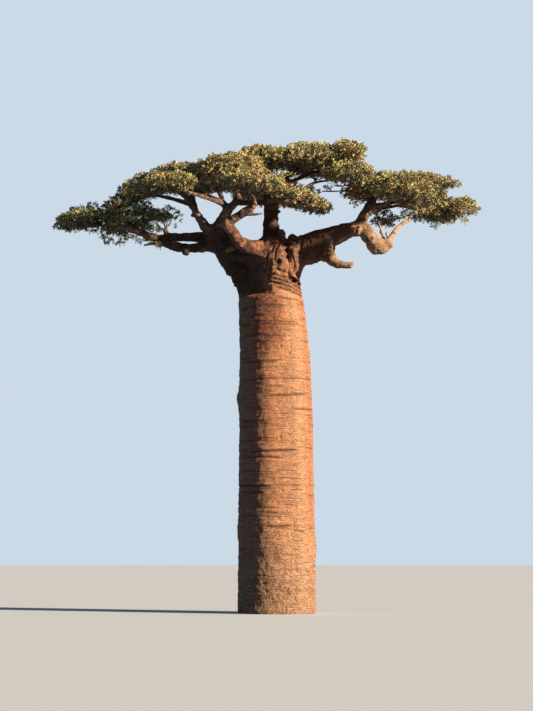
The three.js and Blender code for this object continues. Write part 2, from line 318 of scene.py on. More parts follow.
# Relief of the bark, beyond the shape of the limbs
relief = {
    "fillet": 0.75,  # how far two limbs melt together, as a share of the thinner one's radius
    # lumps: how many per metre, and how high on the trunk, on its head and on a thick limb
    "lumps": [
        (0.55, 0.016, 0.05, 0.05), (1.9, 0.004, 0.055, 0.06), (4.2, 0.0015, 0.04, 0.045),
        (8.5, 0.001, 0.018, 0.020),
    ],
    "crack": 0.07,  # how deep the cracks in the front of the head are
    "flutes": (2.24, 5.12),  # how closely the head's wide and narrow upright folds follow each other
    "fluteDepth": 0.10,
    "curtains": [(2.6, 0.060), (6.0, 0.028)],  # folds across the limbs: how many per metre, and how deep
    # upright ridges of the trunk: angle, height, and width in degrees
    "ridges": [(34, 0.05, 9), (128, 0.05, 14), (196, 0.06, 12), (262, 0.05, 15)],
    "wrinkle": 0.0018,  # depth of the fine level wrinkles
    "pebbles": (0.016, 0.014),  # heights of the large and the small pebbly lumps at the foot
    "pocks": (0.002, 0.07),  # depth of the pocks all over, and how much deeper they are at the foot
    "taper": 0.03,  # how far the skin is moved at most, so that the trunk keeps its exact taper
}

# Zones of the bark: for each edge an axis, where the zone starts along it and where it is full
zones = {
    "foot": [("z", 5.5, 0.3)],
    "stem": [("z", 13.7, 13.0)],
    "head": [("z", 13.9, 15.2)],
    "fluted": [("z", 14.9, 15.7)],
    "neckFlat": [("z", 14.15, 14.55), ("z", 16.05, 15.75), ("x", -2.3, -1.8), ("y", -0.05, -0.45)],
    "headFront": [
        ("z", 14.9, 15.3), ("z", 17.2, 16.8), ("y", -0.5, -0.9), ("x", -1.0, -0.6), ("x", 1.4, 1.1),
    ],
    "leftFlank": [("x", -0.5, -1.3), ("z", 14.15, 14.6), ("z", 17.5, 16.9), ("y", -1.9, -1.2)],
    "leftUp": [("x", -2.95, -3.15), ("z", 17.25, 17.5), ("z", 19.2, 18.8)],
    "frontBough": [("x", -2.4, -1.9), ("x", 1.0, 0.5), ("z", 16.0, 16.2), ("y", -0.9, -1.3)],
    "frontLow": [("z", 17.0, 16.6)],
    "frontBend": [("y", -2.7, -3.0), ("z", 18.3, 18.0)],
    "frontRise": [("y", -3.05, -3.3), ("z", 18.3, 18.0)],
    "upright": [("x", -0.95, -0.65), ("x", 0.55, 0.25), ("y", -0.9, -0.6), ("z", 17.0, 17.3)],
    "uprightLow": [("z", 18.2, 17.9)],
    "rightArm": [("x", 0.95, 1.35), ("x", 3.6, 3.2), ("z", 15.8, 16.2)],
    "rightElbow": [("x", 3.3, 3.9), ("z", 19.0, 17.0)],
    "stub": [("z", 16.3, 15.9), ("x", 2.2, 2.6)],
    "crown": [("z", 18.0, 18.5)],
}

# Small pits in the fork's bark: place, width and depth
pits = [
    (0.62, -1.00, 15.01, 0.13, 0.36), (0.50, -1.10, 15.11, 0.10, 0.26), (0.75, -0.95, 14.94, 0.11, 0.26),
    (0.05, -1.40, 15.71, 0.12, 0.16), (0.46, -1.10, 16.30, 0.10, 0.12), (0.45, -1.05, 16.60, 0.10, 0.12),
    (0.47, -1.10, 16.00, 0.09, 0.10), (3.60, -1.65, 17.27, 0.06, 0.05), (3.58, -1.65, 17.10, 0.06, 0.05),
    (3.61, -1.60, 16.92, 0.06, 0.05), (1.29, -0.72, 16.18, 0.09, 0.07), (2.03, -1.20, 16.48, 0.08, 0.06),
    (4.24, -1.70, 16.75, 0.08, 0.04), (-1.15, -1.95, 16.35, 0.07, 0.05), (-1.75, -2.60, 16.60, 0.07, 0.05),
]

# Level creases in the trunk: angle and height of one end and of the other, depth and width;
# angle 0 faces the main view and 90 is the right side
creases = [
    (-45, 13.32, -12, 13.30, 0.030, 0.05), (-38, 13.02, 52, 13.06, 0.026, 0.035),
    (-30, 12.90, 56, 12.95, 0.020, 0.03), (-30, 12.40, 14, 12.38, 0.024, 0.04),
    (-42, 11.60, -5, 11.56, 0.022, 0.04), (-75, 11.27, 10, 11.22, 0.026, 0.045),
    (-100, 10.42, 95, 10.48, 0.016, 0.04), (-20, 10.08, 16, 10.10, 0.020, 0.035),
    (-18, 9.64, 58, 9.78, 0.050, 0.055), (22, 9.07, 85, 9.10, 0.030, 0.04),
    (-75, 8.60, -20, 8.55, 0.028, 0.045), (-50, 7.17, 38, 7.24, 0.055, 0.06),
    (-70, 6.95, 10, 6.92, 0.028, 0.045), (-22, 4.50, 4, 4.48, 0.026, 0.05),
    (-20, 3.88, 24, 3.92, 0.030, 0.05), (25, 3.72, 46, 3.66, 0.030, 0.05),
    (-16, 15.24, 92, 14.68, 0.15, 0.060), (-10, 15.05, 96, 14.50, 0.17, 0.055),
    (-6, 14.85, 96, 14.36, 0.17, 0.055), (4, 14.62, 100, 14.24, 0.14, 0.050),
    (-60, 14.60, -20, 14.72, 0.030, 0.06), (14, 15.36, 40, 15.22, 0.08, 0.050),
    (-8, 15.62, 30, 15.50, 0.07, 0.050), (130, 14.95, 262, 14.60, 0.070, 0.075),
    (150, 14.60, 250, 14.40, 0.060, 0.065), (180, 15.25, 250, 15.00, 0.05, 0.06),
    (100, 15.20, 170, 14.95, 0.050, 0.06), (5, 14.14, 60, 14.08, 0.020, 0.035),
    (-30, 13.80, 30, 13.76, 0.016, 0.03),
]

# Creases drawn at random on the sides that the main view doesn't show
hiddenCreases = {
    "seed": 5, "count": 34, "heights": (1.5, 13.8), "angles": (70, 290), "spans": (25, 120),
    "slopes": (-0.06, 0.06), "depths": (0.015, 0.045), "width": 0.045,
}

# Flat side of the neck: the way it faces, how far it stands from the axis, and how much is pared off
neckFlat = {"angle": -45, "reach": 1.13, "share": 1.1}

# Small holes and knots of the trunk: angle, height, width and depth, a negative depth standing proud
marks = [
    (6, 7.82, 0.06, 0.07), (-27, 7.78, 0.05, 0.06), (8, 5.44, 0.055, 0.07), (10, 11.90, 0.07, 0.06),
    (16, 0.93, 0.09, 0.08), (0, 0.76, 0.08, 0.06), (7, 4.27, 0.10, -0.06), (-8, 11.80, 0.12, -0.03),
    (30, 8.90, 0.10, -0.03), (120, 6.10, 0.10, 0.08), (150, 9.40, 0.12, -0.06), (175, 3.20, 0.10, 0.08),
    (205, 7.50, 0.09, 0.07), (235, 11.00, 0.12, -0.06), (215, 1.90, 0.12, 0.07), (260, 5.00, 0.09, 0.07),
    (190, 12.60, 0.08, 0.06), (140, 1.10, 0.12, 0.08),
]

# Swellings of the trunk: angle, height, width and how far they stand out
swellings = [
    (-92, 15.05, 0.40, 0.10), (-90, 9.65, 0.40, 0.17), (-90, 3.72, 0.55, 0.08), (92, 2.96, 0.60, 0.07),
    (-60, 1.60, 0.60, 0.05), (60, 1.10, 0.70, 0.05), (170, 2.20, 0.70, 0.08), (215, 6.20, 0.60, 0.06),
    (130, 8.20, 0.50, 0.06),
]

# Stripes of colour up the trunk: colour, angle, half width, strength, and the heights over which each
# one comes in at its foot and goes out at its top
stripes = [
    ("red", -24, 18, 1.15, (4.0, 9.0), (23.0, 22.0)),
    ("red", 64, 16, 1.1, (1.5, 4.0), (15.2, 13.9)),
    ("red", 150, 40, 1.0, (3.0, 9.0), (14.0, 10.0)),
    ("red", 2, 30, 1.6, (10.8, 12.8), (15.2, 13.9)),
    # painted sheen: a pale band down the trunk's sunlit right side
    ("band", 38, 13, 1.0, (-2.0, -1.0), (15.2, 13.9)),
    # painted light: a brighter stripe up the trunk's front
    ("glow", -2, 13, 1.0, (2.5, 4.5), (12.2, 10.6)),
]

# How pale and how dark the bark is painted in its zones: painted light and painted shade, the dead stub's
# paleness partly its own pale wood
pale_and_painted_light_zones = {"rightElbow": 1.0, "stub": 0.7, "frontRise": 0.6, "leftUp": 0.6}
painted_shade_zones = {"leftFlank": 1.1, "rightArm": 0.6, "crown": 0.7}


def distanceFrom(points, rings):
    # how far each point is off a limb's surface, how far along the limb it lies, and the radius there
    gap = np.full(len(points), 1e6)
    along = np.zeros(len(points))
    radius = np.ones(len(points))
    travelled = 0.0
    for a, b in zip(rings, rings[1:]):
        axis = b[:3] - a[:3]
        length = np.linalg.norm(axis)
        t = np.clip((points - a[:3]) @ axis / length**2, 0, 1)
        wide = a[3] + (b[3] - a[3]) * t
        away = np.linalg.norm(points - a[:3] - t[:, None] * axis, axis=1) - wide
        near = away < gap
        gap[near] = away[near]
        along[near] = travelled + t[near] * length
        radius[near] = wide[near]
        travelled += length
    return gap, along, radius


def nearestWood(points):
    # for each point, how far it is off the trunk, off the nearest of trunk and limbs and off the next
    # nearest, how far along the nearest it lies, and the radii of both
    x, y, z = points.T
    stem = trunkRadius(z)
    onTrunk = np.hypot(x - trunkMiddle(z), y) - stem + np.maximum(0, z - trunk["headTop"] + 0.3)
    gap, along, radius = onTrunk.copy(), z.copy(), stem.copy()
    nextGap, nextRadius = np.full(len(points), 1e6), stem.copy()
    high = np.flatnonzero(z > 13.5)
    for number, stations in enumerate({**limbs, **folds}.values()):
        away, reach, wide = distanceFrom(points[high], curveThrough(stations, 0.5))
        closer = away < gap[high]
        nextGap[high] = np.where(closer, gap[high], np.minimum(nextGap[high], away))
        second = np.where(away <= nextGap[high], wide, nextRadius[high])
        nextRadius[high] = np.where(closer, radius[high], second)
        gap[high] = np.where(closer, away, gap[high])
        along[high] = np.where(closer, reach + 10.0 * (number + 2), along[high])
        radius[high] = np.where(closer, wide, radius[high])
    return onTrunk, gap, nextGap, along, radius, nextRadius


def drawCreases():
    # the hidden sides' creases, each like the ones above
    draw = np.random.default_rng(hiddenCreases["seed"])
    drawn = []
    for _ in range(hiddenCreases["count"]):
        start = draw.uniform(*hiddenCreases["angles"])
        height = draw.uniform(*hiddenCreases["heights"])
        end = start + draw.uniform(*hiddenCreases["spans"])
        endHeight = height + draw.uniform(*hiddenCreases["slopes"])
        depth = draw.uniform(*hiddenCreases["depths"])
        drawn.append((start, height, end, endHeight, depth, hiddenCreases["width"]))
    return drawn


class Bark:
    # the bark at points of the wood: how far each point stands out, how far it is pushed back, and how
    # dark it is in a crease, crack, hole or pit, partly the dark bark there and partly painted shade
    def __init__(self, points):
        self.points = points
        self.x, self.y, self.z = points.T
        self.stem = trunkRadius(self.z)
        self.angle = np.degrees(np.arctan2(self.x - trunkMiddle(self.z), -self.y)) % 360
        self.out = np.zeros(len(points))
        self.push = np.zeros(len(points))
        self.crease = np.zeros(len(points))
        self.foot, self.head = self.zone("foot"), self.zone("head")
        self.headFront = self.zone("headFront")

    def zone(self, name):
        # 1 inside a zone and 0 outside it
        share = np.ones(len(self.points))
        for axis, start, full in zones[name]:
            share *= smoothStep(start, full, getattr(self, axis))
        return share

    # darkness in creases, cracks, grooves, holes and pits: partly dark bark, partly painted shade
    def darkenCrease(self, crease):
        self.crease = np.maximum(self.crease, crease)

    def awayFrom(self, degrees, height, stretch=1.0):
        # distance over the trunk's side from a place on it, with level distances shortened by the stretch
        turn = (self.angle - degrees + 180) % 360 - 180
        return np.hypot(np.radians(turn) * self.stem / stretch, self.z - height)

    def joinLimbs(self):
        # fill the corners where limbs meet, and move the trunk's skin onto its exact taper
        onTrunk, gap, nextGap, self.along, self.radius, nextRadius = nearestWood(self.points)
        self.limb = smoothStep(-0.15, 0.25, onTrunk - gap)
        self.trunkShare = 1 - self.limb
        self.fade = smoothStep(0.02, 0.22, nextGap - gap)
        melt = relief["fillet"] * np.minimum(0.45, np.minimum(self.radius, nextRadius))
        self.out += 0.25 * melt * np.clip(1 - np.abs(nextGap - gap) / melt, 0, 1) ** 2
        self.out -= np.clip(onTrunk, -relief["taper"], relief["taper"]) * self.zone("stem")

    def addLumps(self):
        # lumps of four sizes, lower on thin limbs
        size = np.maximum(np.clip(self.radius / 0.5, 0.15, 1), 0.9 * self.headFront)
        self.size = size * (1 - 0.3 * self.zone("rightArm"))
        for number, (scale, low, high, onLimb) in enumerate(relief["lumps"]):
            height = (low + (high - low) * self.head) * self.trunkShare + onLimb * self.size * self.limb
            self.out += height * noiseAt(self.points, scale, 7.0 * number)

    def fluteHead(self):
        # upright folds of the head under the boughs, and cracks in its front
        share = self.zone("fluted") * self.trunkShare
        turn = np.radians(self.angle)
        circle = np.column_stack((np.sin(turn), np.cos(turn), 0.22 * self.z))
        wide, narrow = relief["flutes"]
        flute = noiseAt(circle, wide, 41.0) + 0.5 * noiseAt(circle, narrow, 44.0)
        self.out += relief["fluteDepth"] * share * (np.clip(2.4 * np.abs(flute), 0, 1) - 0.6)
        self.darkenCrease(0.75 * share * np.clip(1 - 5 * np.abs(flute), 0, 1))
        crack = np.clip(1 - 4 * np.abs(noiseAt(self.points, (3.2, 3.2, 1.3), 61.0)), 0, 1) * self.headFront
        self.out -= relief["crack"] * crack
        self.darkenCrease(0.8 * crack)

    def creaseTrunk(self):
        # upright ridges, and level creases with a lip above each
        waver = 0.05 * noiseAt(self.points, (0.7, 0.7, 0.15))
        waver += 0.015 * noiseAt(self.points, (3.0, 3.0, 0.4), 5.0)
        for degrees, height, width in relief["ridges"]:
            turn = (self.angle - degrees + 200 * waver + 180) % 360 - 180
            self.out += height * self.trunkShare * (1 - self.head) * np.exp(-((turn / width) ** 2))
        for startAngle, startHeight, endAngle, endHeight, depth, width in creases + drawCreases():
            t = ((self.angle - startAngle) % 360) / (endAngle - startAngle)
            inside = smoothStep(0, 0.15, t) * smoothStep(0, 0.15, 1 - t) * (t <= 1) * self.trunkShare
            rise = self.z - (startHeight + (endHeight - startHeight) * t + waver)
            cut = inside * np.exp(-((rise / width) ** 2))
            lip = inside * np.exp(-(((rise - 1.8 * width) / (1.3 * width)) ** 2))
            self.out += depth * (0.8 * lip - cut)
            gain = 1.6 if startHeight < 14.2 else 1.25  # the stem's creases are the darker ones
            self.darkenCrease(gain * cut * min(1, depth / 0.018))

    def flattenNeck(self):
        facing = math.radians(neckFlat["angle"])
        proud = self.x * math.sin(facing) - self.y * math.cos(facing) - neckFlat["reach"]
        self.out -= neckFlat["share"] * np.clip(proud, 0, 0.5) * self.zone("neckFlat")

    def markTrunk(self):
        # holes, knots and swellings
        for degrees, height, width, depth in marks:
            away = self.awayFrom(degrees, height) / width
            rim = 0.3 * np.exp(-((away - 1.7) ** 2) * 3)
            self.out += self.trunkShare * depth * (rim - np.exp(-(away**2)))
            if depth > 0:
                self.darkenCrease(self.trunkShare * np.exp(-(away**2) * 1.2))
        for degrees, height, width, rise in swellings:
            away = self.awayFrom(degrees, height, 1.6) / width
            self.out += self.trunkShare * rise * np.exp(-(away**2) * 1.5)

    def roughenFoot(self):
        # fine level wrinkles up the trunk, pebbly lumps and pocks toward its foot
        wrinkle = noiseAt(self.points, (0.9, 0.9, 7.0), 3.0)
        wrinkle += 0.6 * noiseAt(self.points, (1.6, 1.6, 13.0), 9.0)
        self.out -= relief["wrinkle"] * self.trunkShare * np.clip(1 - 2.6 * np.abs(wrinkle), 0, 1)
        large, small = relief["pebbles"]
        self.out += self.foot * large * noiseAt(self.points, (4.5, 4.5, 6.0), 2.0)
        self.out += self.foot * small * noiseAt(self.points, (9.5, 9.5, 12.0), 4.0)
        pock = np.clip(noiseAt(self.points, (7.0, 7.0, 10.0), 12.0) - 0.20, 0, 1) * self.trunkShare
        everywhere, atFoot = relief["pocks"]
        self.out -= (everywhere + atFoot * self.foot) * pock
        self.darkenCrease(2.2 * pock * (0.15 + 0.85 * self.foot))

    def foldLimbs(self):
        # uneven folds across the limbs, like a curtain's
        for number, (scale, depth) in enumerate(relief["curtains"]):
            slant = 0.5 * scale * (self.y + 0.5 * self.x)
            line = np.column_stack((self.along * scale, slant, 0.35 * scale * self.z))
            groove = np.clip(1 - 4.0 * np.abs(noiseAt(line, 1.0, 51.0 + number)), 0, 1)
            groove *= self.limb * self.fade
            self.out -= depth * self.size * groove
            self.darkenCrease(0.65 * groove * smoothStep(0.1, 0.25, self.radius))

    def addPits(self):
        # pits pressed back into the fork's bark, each with a low rim
        for x, y, z, width, depth in pits:
            away = np.linalg.norm((self.points - (x, y, z)) * (1, 0.35, 1), axis=1) / width
            self.push += depth * np.exp(-(away**2))
            self.out += 0.2 * depth * np.exp(-((away - 1.6) ** 2) * 3)
            # painted shade inside each pit
            self.darkenCrease(2 * np.exp(-(away**2)))

    def values(self):
        # what the bark's colours follow: reddest left of the front near the top; greyest on the left, a
        # painted shade;
        # palest on the elbow, the rising prong and the upper left bough as painted light, and on the dead
        # stub partly its own pale wood; darkest as painted shade on the left boughs, the right arm, the
        # upright and the crown's boughs, and in dark blotches in front; with a painted sheen right of the
        # front and painted highlights up the front and on the front bough
        around = (self.angle + 180) % 360 - 180
        striped = {}
        for colour, degrees, width, strength, foot, top in stripes:
            share = strength * np.exp(-(((around - degrees) / width) ** 2))
            share *= smoothStep(*foot, self.z) * smoothStep(*top, self.z)
            striped[colour] = striped.get(colour, 0) + share
        blotch = smoothStep(-0.25, 0.2, noiseAt(self.points, 4.5, 71.0))
        frontBough = self.zone("frontBough")
        # painted highlights on the front bough between its dark blotches, and on its bend
        lit = 0.7 * frontBough * (1 - blotch) * self.zone("frontLow") + 0.6 * self.zone("frontBend")
        # painted shade on the upright bough, heaviest below 18 m where the sun falls on it
        shadedUpright = (0.2 + 0.95 * self.zone("uprightLow")) * self.zone("upright")
        # painted shade in the dark zones and on the upright, and the front bough's dark blotches
        dim = np.maximum((0.25 + 0.85 * blotch) * frontBough, shadedUpright)
        for name, strength in painted_shade_zones.items():
            dim = np.maximum(dim, strength * self.zone(name))
        return {
            "along": self.along, "fade": self.fade, "limb": self.limb,
            "crease": self.crease, "foot": self.foot,
            "red": striped["red"] + 1.15 * frontBough,
            # painted shade: greyer bark on the trunk's left, the side away from the sun
            "grey": smoothStep(-30, -60, around) * smoothStep(-170, -120, around),
            # painted light on the elbow, the rising prong and the upper left bough; the dead stub's
            # paleness is partly its own pale wood
            "pale": sum(strength * self.zone(name) for name, strength in pale_and_painted_light_zones.items()),
            "dim": dim, "band": striped["band"] * self.trunkShare, "glow": striped["glow"] + lit,
        }


def roughenWood(piece):
    # move the skin's points out and back as its bark asks, and keep the values for its colours
    mesh = piece.data
    count = len(mesh.vertices)
    points = np.zeros(count * 3)
    normals = np.zeros(count * 3)
    mesh.vertices.foreach_get("co", points)
    mesh.vertex_normals.foreach_get("vector", normals)
    points = points.reshape(-1, 3)
    bark = Bark(points)
    bark.joinLimbs()
    bark.addLumps()
    bark.fluteHead()
    bark.creaseTrunk()
    bark.flattenNeck()
    bark.markTrunk()
    bark.roughenFoot()
    bark.foldLimbs()
    bark.addPits()
    for name, value in bark.values().items():
        mesh.attributes.new(name, "FLOAT", "POINT").data.foreach_set("value", np.clip(value, 0, None))
    points += normals.reshape(-1, 3) * bark.out[:, None]
    points[:, 1] += bark.push
    mesh.vertices.foreach_set("co", points.ravel())
    mesh.update()
    print("bark relief from", round(bark.out.min(), 3), "to", round(bark.out.max(), 3))


def cutFlat(piece, height, keepAbove):
    # cut level at a height and close the cut
    selectOnly(piece)
    bpy.ops.object.mode_set(mode="EDIT")
    bpy.ops.mesh.select_all(action="SELECT")
    bpy.ops.mesh.bisect(
        plane_co=(0, 0, height), plane_no=(0, 0, 1), use_fill=True,
        clear_inner=keepAbove, clear_outer=not keepAbove,
    )
    bpy.ops.object.mode_set(mode="OBJECT")


class Nodes:
    # a material's node tree, which makes one node at a time
    def __init__(self, name):
        self.material = bpy.data.materials.new(name)
        self.material.use_nodes = True
        self.tree = self.material.node_tree
        self.shader = self.tree.nodes["Principled BSDF"]

    def add(self, kind, settings=None, **inputs):
        # inputs are named by their socket, or by its number after an underscore
        node = self.tree.nodes.new("ShaderNode" + kind)
        for key, value in (settings or {}).items():
            setattr(node, key, value)
        for key, value in inputs.items():
            self.link(node.inputs[int(key[1:]) if key[0] == "_" else key.replace("_", " ")], value)
        return node

    def link(self, socket, value):
        if isinstance(value, Value):
            self.tree.links.new(value.socket, socket)
        else:
            socket.default_value = value

    def place(self):
        return Value(self, self.add("TexCoord").outputs["Object"])

    def attribute(self, name):
        return Value(self, self.add("Attribute", {"attribute_name": name}).outputs["Fac"])

    def stretched(self, place, scale):
        return Value(self, self.add("VectorMath", {"operation": "MULTIPLY"}, _0=place, _1=scale).outputs[0])

    def noise(self, place, scale, detail=3.0, rough=0.55):
        made = self.add("TexNoise", Vector=place, Scale=scale, Detail=detail, Roughness=rough)
        return Value(self, made.outputs["Fac"])

    def step(self, value, low, high):
        made = self.add("MapRange", {"interpolation_type": "SMOOTHSTEP"}, Value=value, _1=low, _2=high)
        return Value(self, made.outputs[0])

    def mix(self, share, a, b):
        made = self.add("Mix", {"data_type": "RGBA"}, _0=share, _6=a, _7=b)
        return Value(self, made.outputs[2])

    def bump(self, height, distance, strength=1.0):
        made = self.add("Bump", Height=height, Distance=distance, Strength=strength)
        self.link(self.shader.inputs["Normal"], Value(self, made.outputs["Normal"]))


class Value:
    # a number in a node tree, which Python's operators work on
    def __init__(self, nodes, socket):
        self.nodes = nodes
        self.socket = socket

    def math(self, operation, a, b):
        made = self.nodes.add("Math", {"operation": operation}, _0=a, _1=b)
        return Value(self.nodes, made.outputs[0])

    def __add__(self, other):
        return self.math("ADD", self, other)

    def __radd__(self, other):
        return self.math("ADD", other, self)

    def __sub__(self, other):
        return self.math("SUBTRACT", self, other)

    def __rsub__(self, other):
        return self.math("SUBTRACT", other, self)

    def __mul__(self, other):
        return self.math("MULTIPLY", self, other)

    def __rmul__(self, other):
        return self.math("MULTIPLY", other, self)


# Colours of the bark, and how strongly they and its dark marks are laid on; some of them are painted sheen,
# highlights and shade
barkLook = {
    "tan": (0.51, 0.250, 0.108, 1), "rust": (0.38, 0.125, 0.046, 1), "dark": (0.055, 0.026, 0.017, 1),
    "foot": (0.46, 0.290, 0.165, 1), "ash": (0.27, 0.190, 0.135, 1), "limb": (0.21, 0.095, 0.052, 1),
    "pale": (0.54, 0.318, 0.178, 1), "band": (0.62, 0.400, 0.215, 1), "red": (0.52, 0.185, 0.072, 1),
    "wine": (0.20, 0.047, 0.018, 1), "glow": (0.70, 0.285, 0.115, 1), "shade": (0.026, 0.011, 0.007, 1),
}
barkShare = {
    "ash": 0.30, "band": 0.45, "patch": 0.6, "wine": 1.2, "glow": 0.6, "grey": 0.65, "lines": 0.70,
    "level": 0.80, "fine": 0.45, "dim": 0.70, "shade": 2, "crease": 0.85,
}
# Patterns of the bark: how much closer they are up the trunk than round it, scale, detail and roughness
barkPatterns = {
    "patches": (1, 0.55, 4.0, 0.55), "mottle": (1.4, 3.2, 5.0, 0.62), "lines": (20, 1.1, 4.0, 0.65),
    "level": (28, 0.9, 2.0, 0.5), "speckle": (1.6, 13.0, 2.0, 0.5), "fine": (1, 30.0, 3.0, 0.6),
}
barkFinish = {"roughness": 0.70, "uneven": 0.22, "specular": 0.35, "bump": (0.055, 0.95)}


def barkMaterial():
    nodes = Nodes("bark")
    place = nodes.place()
    limb, along, fade = [nodes.attribute(name) for name in ("limb", "along", "fade")]
    crease, foot, dim, grey = [nodes.attribute(name) for name in ("crease", "foot", "dim", "grey")]
    red, pale, band, glow = [nodes.attribute(name) for name in ("red", "pale", "band", "glow")]
    patterns = {}
    for name, (closer, scale, detail, rough) in barkPatterns.items():
        spot = place if closer == 1 else nodes.stretched(place, (1, 1, closer))
        patterns[name] = nodes.noise(spot, scale, detail, rough)
    patches, mottle, lines, level, speckle, fine = patterns.values()
    lengths = nodes.add("CombineXYZ", _0=along * 6.0, _1=patches * 3.0, _2=mottle * 1.5)
    streaks = nodes.noise(Value(nodes, lengths.outputs[0]), 1.0, 3.0, 0.6)

    # from the bark's ground colours through the trunk's and the boughs' own to its dark marks, with painted
    # sheen, highlights, light and shade among them
    colour = nodes.mix(nodes.step(mottle, 0.36, 0.62), barkLook["rust"], barkLook["tan"])
    colour = nodes.mix(nodes.step(patches, 0.45, 0.75) * barkShare["ash"], colour, barkLook["ash"])
    colour = nodes.mix(red * (0.40 + 0.6 * patches), colour, barkLook["red"])
    colour = nodes.mix(foot * (0.25 + 0.6 * mottle), colour, barkLook["foot"])
    # painted sheen on the trunk's sunlit right side
    colour = nodes.mix(band * barkShare["band"], colour, barkLook["band"])
    colour = nodes.mix(limb * (0.35 + 0.9 * mottle), colour, barkLook["limb"])
    rustPatch = limb * nodes.step(patches + 0.6 * speckle, 0.66, 0.90) * barkShare["patch"]
    colour = nodes.mix(rustPatch, colour, barkLook["rust"])
    colour = nodes.mix((red - 0.9) * barkShare["wine"], colour, barkLook["wine"])
    # painted light and painted highlights up the trunk's front and on the front bough
    colour = nodes.mix(glow * barkShare["glow"], colour, barkLook["glow"])
    # painted light in the pale zones, and the dead stub's own pale wood; the same pale colour makes the
    # real pale speckles below
    colour = nodes.mix(pale * (0.45 + 0.50 * nodes.step(mottle, 0.30, 0.60)), colour, barkLook["pale"])
    # painted shade: the ash colour laid on the trunk's left side
    colour = nodes.mix(grey * barkShare["grey"], colour, barkLook["ash"])
    colour = nodes.mix(nodes.step(speckle, 0.47, 0.36) * (0.65 - 0.3 * limb), colour, barkLook["pale"])
    darkSpeckle = nodes.step(speckle, 0.53, 0.66) * (0.54 + 0.25 * foot - 0.2 * pale)
    colour = nodes.mix(darkSpeckle, colour, barkLook["dark"])
    colour = nodes.mix(nodes.step(lines, 0.60, 0.65) * barkShare["lines"], colour, barkLook["dark"])
    colour = nodes.mix(nodes.step(level, 0.61, 0.66) * barkShare["level"], colour, barkLook["dark"])
    darkStreaks = limb * nodes.step(streaks, 0.52, 0.64) * (0.60 - 0.35 * pale)
    colour = nodes.mix(darkStreaks, colour, barkLook["dark"])
    colour = nodes.mix(nodes.step(fine, 0.52, 0.72) * barkShare["fine"], colour, barkLook["dark"])
    # painted shade, first in the dark colour and past 1 in the shade colour; on the front bough also its
    # dark blotches
    colour = nodes.mix(dim * barkShare["dim"], colour, barkLook["dark"])
    colour = nodes.mix((dim - 1) * barkShare["shade"], colour, barkLook["shade"])
    # painted shade in creases, cracks, holes and pits, partly the dark bark in them
    colour = nodes.mix(crease * barkShare["crease"], colour, barkLook["dark"])
    nodes.link(nodes.shader.inputs["Base Color"], colour)
    nodes.link(nodes.shader.inputs["Roughness"], barkFinish["roughness"] + barkFinish["uneven"] * fine)
    nodes.shader.inputs["Specular IOR Level"].default_value = barkFinish["specular"]

    # fine ripples across the limbs, lines that are cut in, and grain
    rings = nodes.noise(place, 2.0, 3.0) * 16.0 + along * 36.0
    ripple = Value(nodes, nodes.add("Math", {"operation": "SINE"}, _0=rings).outputs[0]) * limb * fade
    height = ripple * 0.10 - lines * 0.5 - level * 0.5 - streaks * limb * 0.8
    height = height + mottle * (0.2 + 0.4 * limb) + speckle * (0.15 + 0.9 * limb + 0.6 * foot) + fine * 0.8
    nodes.bump(height, *barkFinish["bump"])
    return nodes.material


twigLook = {"light": (0.20, 0.10, 0.055, 1), "dark": (0.075, 0.040, 0.024, 1)}


def twigMaterial(name, light, dark):
    nodes = Nodes(name)
    place = nodes.place()
    patches = nodes.noise(place, 3.0, 4.0)
    grain = nodes.noise(place, 28.0, 3.0)
    nodes.link(nodes.shader.inputs["Base Color"], nodes.mix(nodes.step(patches, 0.35, 0.65), dark, light))
    nodes.link(nodes.shader.inputs["Roughness"], 0.7 + 0.2 * grain)
    nodes.bump(grain, 0.004, 0.7)
    return nodes.material


# Leaf colours: the share of the twigs that has each, and how much more of it grows where it is warmer
leafLooks = {
    "leaves_olive": {
        "share": 0.27, "warmth": 0.0, "light": (0.660, 0.565, 0.210, 1), "dark": (0.140, 0.125, 0.050, 1),
    },
    "leaves_yellow_green": {
        "share": 0.24, "warmth": 0.7, "light": (0.710, 0.610, 0.235, 1), "dark": (0.270, 0.235, 0.090, 1),
    },
    "leaves_deep_green": {
        "share": 0.20, "warmth": -1.3, "light": (0.380, 0.372, 0.165, 1), "dark": (0.062, 0.070, 0.034, 1),
    },
    "leaves_golden": {
        "share": 0.17, "warmth": 1.1, "light": (0.780, 0.580, 0.275, 1), "dark": (0.310, 0.215, 0.100, 1),
    },
    "leaves_brown": {
        "share": 0.12, "warmth": -0.3, "light": (0.550, 0.380, 0.190, 1), "dark": (0.100, 0.068, 0.036, 1),
    },
}


def leafMaterial(name, light, dark):
    nodes = Nodes(name)
    place = nodes.place()
    tint = nodes.noise(place, 13.0, 2.0)
    nodes.link(nodes.shader.inputs["Base Color"], nodes.mix(nodes.step(tint, 0.43, 0.57), dark, light))
    nodes.link(nodes.shader.inputs["Roughness"], 0.5 + 0.25 * tint)
    nodes.shader.inputs["Specular IOR Level"].default_value = 0.35
    nodes.bump(nodes.noise(place, 60.0, 2.0), 0.003, 0.5)
    return nodes.material


def plainMaterial(name, colour):
    nodes = Nodes(name)
    nodes.shader.inputs["Base Color"].default_value = colour
    nodes.shader.inputs["Roughness"].default_value = 0.9
    return nodes.material


